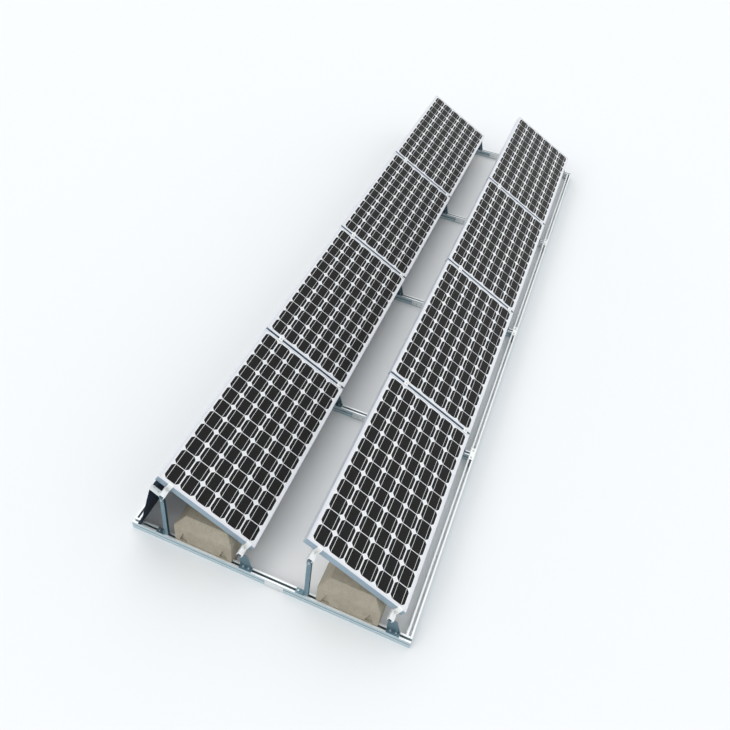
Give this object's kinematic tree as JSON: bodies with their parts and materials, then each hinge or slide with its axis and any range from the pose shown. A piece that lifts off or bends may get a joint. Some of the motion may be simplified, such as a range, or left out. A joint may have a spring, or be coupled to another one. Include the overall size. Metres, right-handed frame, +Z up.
{
  "type": "solar ballast mount",
  "caption": "Flat-roof mount holding two tilted rows of framed solar modules on a slotted rail grid weighted by cast blocks, with a wind deflector behind the first row",
  "frame": {"origin": "on the roof surface, at the centre of the rail grid", "axes": "+Z up, rows run along Y, the modules' high edges face -X"},
  "size_m": [2.1084, 6.52, 0.6693],
  "materials": {
    "module_frame": "clear anodised",
    "laminate": "white backsheet under clear glass",
    "cells": "dark silicon under clear glass",
    "junction_box": "moulded, fine grain",
    "rail": "mill finish",
    "plate": "zinc plated",
    "support": "galvanised",
    "seat": "mill finish",
    "concrete": "cast concrete, fine pores",
    "clamp": "clear anodised",
    "bolt": "zinc plated",
    "deflector": "dark coated sheet"
  },
  "bodies": {
    "root": {"module_frame_left_1": "module_frame", "module_laminate_left_1": "laminate", "module_cells_left_1": "cells", "module_frame_left_2": "module_frame", "module_laminate_left_2": "laminate", "module_cells_left_2": "cells", "module_frame_left_3": "module_frame", "module_laminate_left_3": "laminate", "module_cells_left_3": "cells", "module_frame_left_4": "module_frame", "module_laminate_left_4": "laminate", "module_cells_left_4": "cells", "module_frame_right_1": "module_frame", "module_laminate_right_1": "laminate", "module_cells_right_1": "cells", "module_frame_right_2": "module_frame", "module_laminate_right_2": "laminate", "module_cells_right_2": "cells", "module_frame_right_3": "module_frame", "module_laminate_right_3": "laminate", "module_cells_right_3": "cells", "module_frame_right_4": "module_frame", "module_laminate_right_4": "laminate", "module_cells_right_4": "cells", "junction_boxes": "junction_box", "cross_rail_1": "rail", "cross_rail_2": "rail", "cross_rail_3": "rail", "cross_rail_4": "rail", "cross_rail_5": "rail", "side_rail_left_1": "rail", "side_rail_right_1": "rail", "side_rail_left_2": "rail", "side_rail_right_2": "rail", "splice_plates": "plate", "joint_plates": "plate", "corner_angles": "plate", "post_bases": "support", "post_heads": "support", "rear_posts_left": "support", "rear_posts_right": "support", "front_feet_left": "support", "front_feet_right": "support", "rear_seats": "seat", "front_seats": "seat", "ballast_blocks_left": "concrete", "ballast_blocks_right": "concrete", "mid_clamps": "clamp", "end_clamps": "clamp", "clamp_bolts": "bolt", "joint_plate_bolts": "bolt", "support_bolts": "bolt", "post_bolts": "bolt", "wind_deflector_1": "deflector", "wind_deflector_2": "deflector", "wind_deflector_3": "deflector", "wind_deflector_4": "deflector", "deflector_arms": "support"}
  },
  "joints": []
}
